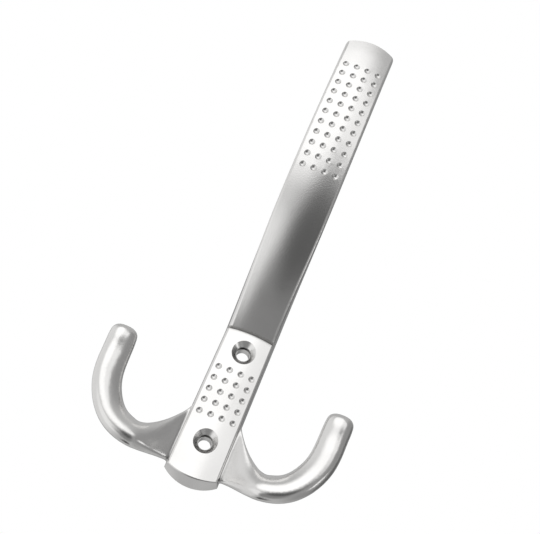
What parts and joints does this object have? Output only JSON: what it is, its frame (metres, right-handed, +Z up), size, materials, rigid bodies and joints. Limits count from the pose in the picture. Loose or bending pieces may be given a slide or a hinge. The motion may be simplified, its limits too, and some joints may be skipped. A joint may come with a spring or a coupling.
{
  "type": "wall coat hook",
  "caption": "Cast wall hook with a long, outward-curving upper arm, a hook on each side, a crowned plate with countersunk screw holes and rows of small dimples.",
  "frame": {"origin": "on the wall plane, midway between the two screw holes", "axes": "+Z up the wall, the wall is the plane Y = 0, the front faces -Y, +X to the right seen from the front"},
  "size_m": [0.0912, 0.0437, 0.173],
  "materials": {
    "satin_chrome": "satin chrome plating on a zinc casting"
  },
  "bodies": {
    "root": {"hook_casting": "satin_chrome"}
  },
  "joints": []
}
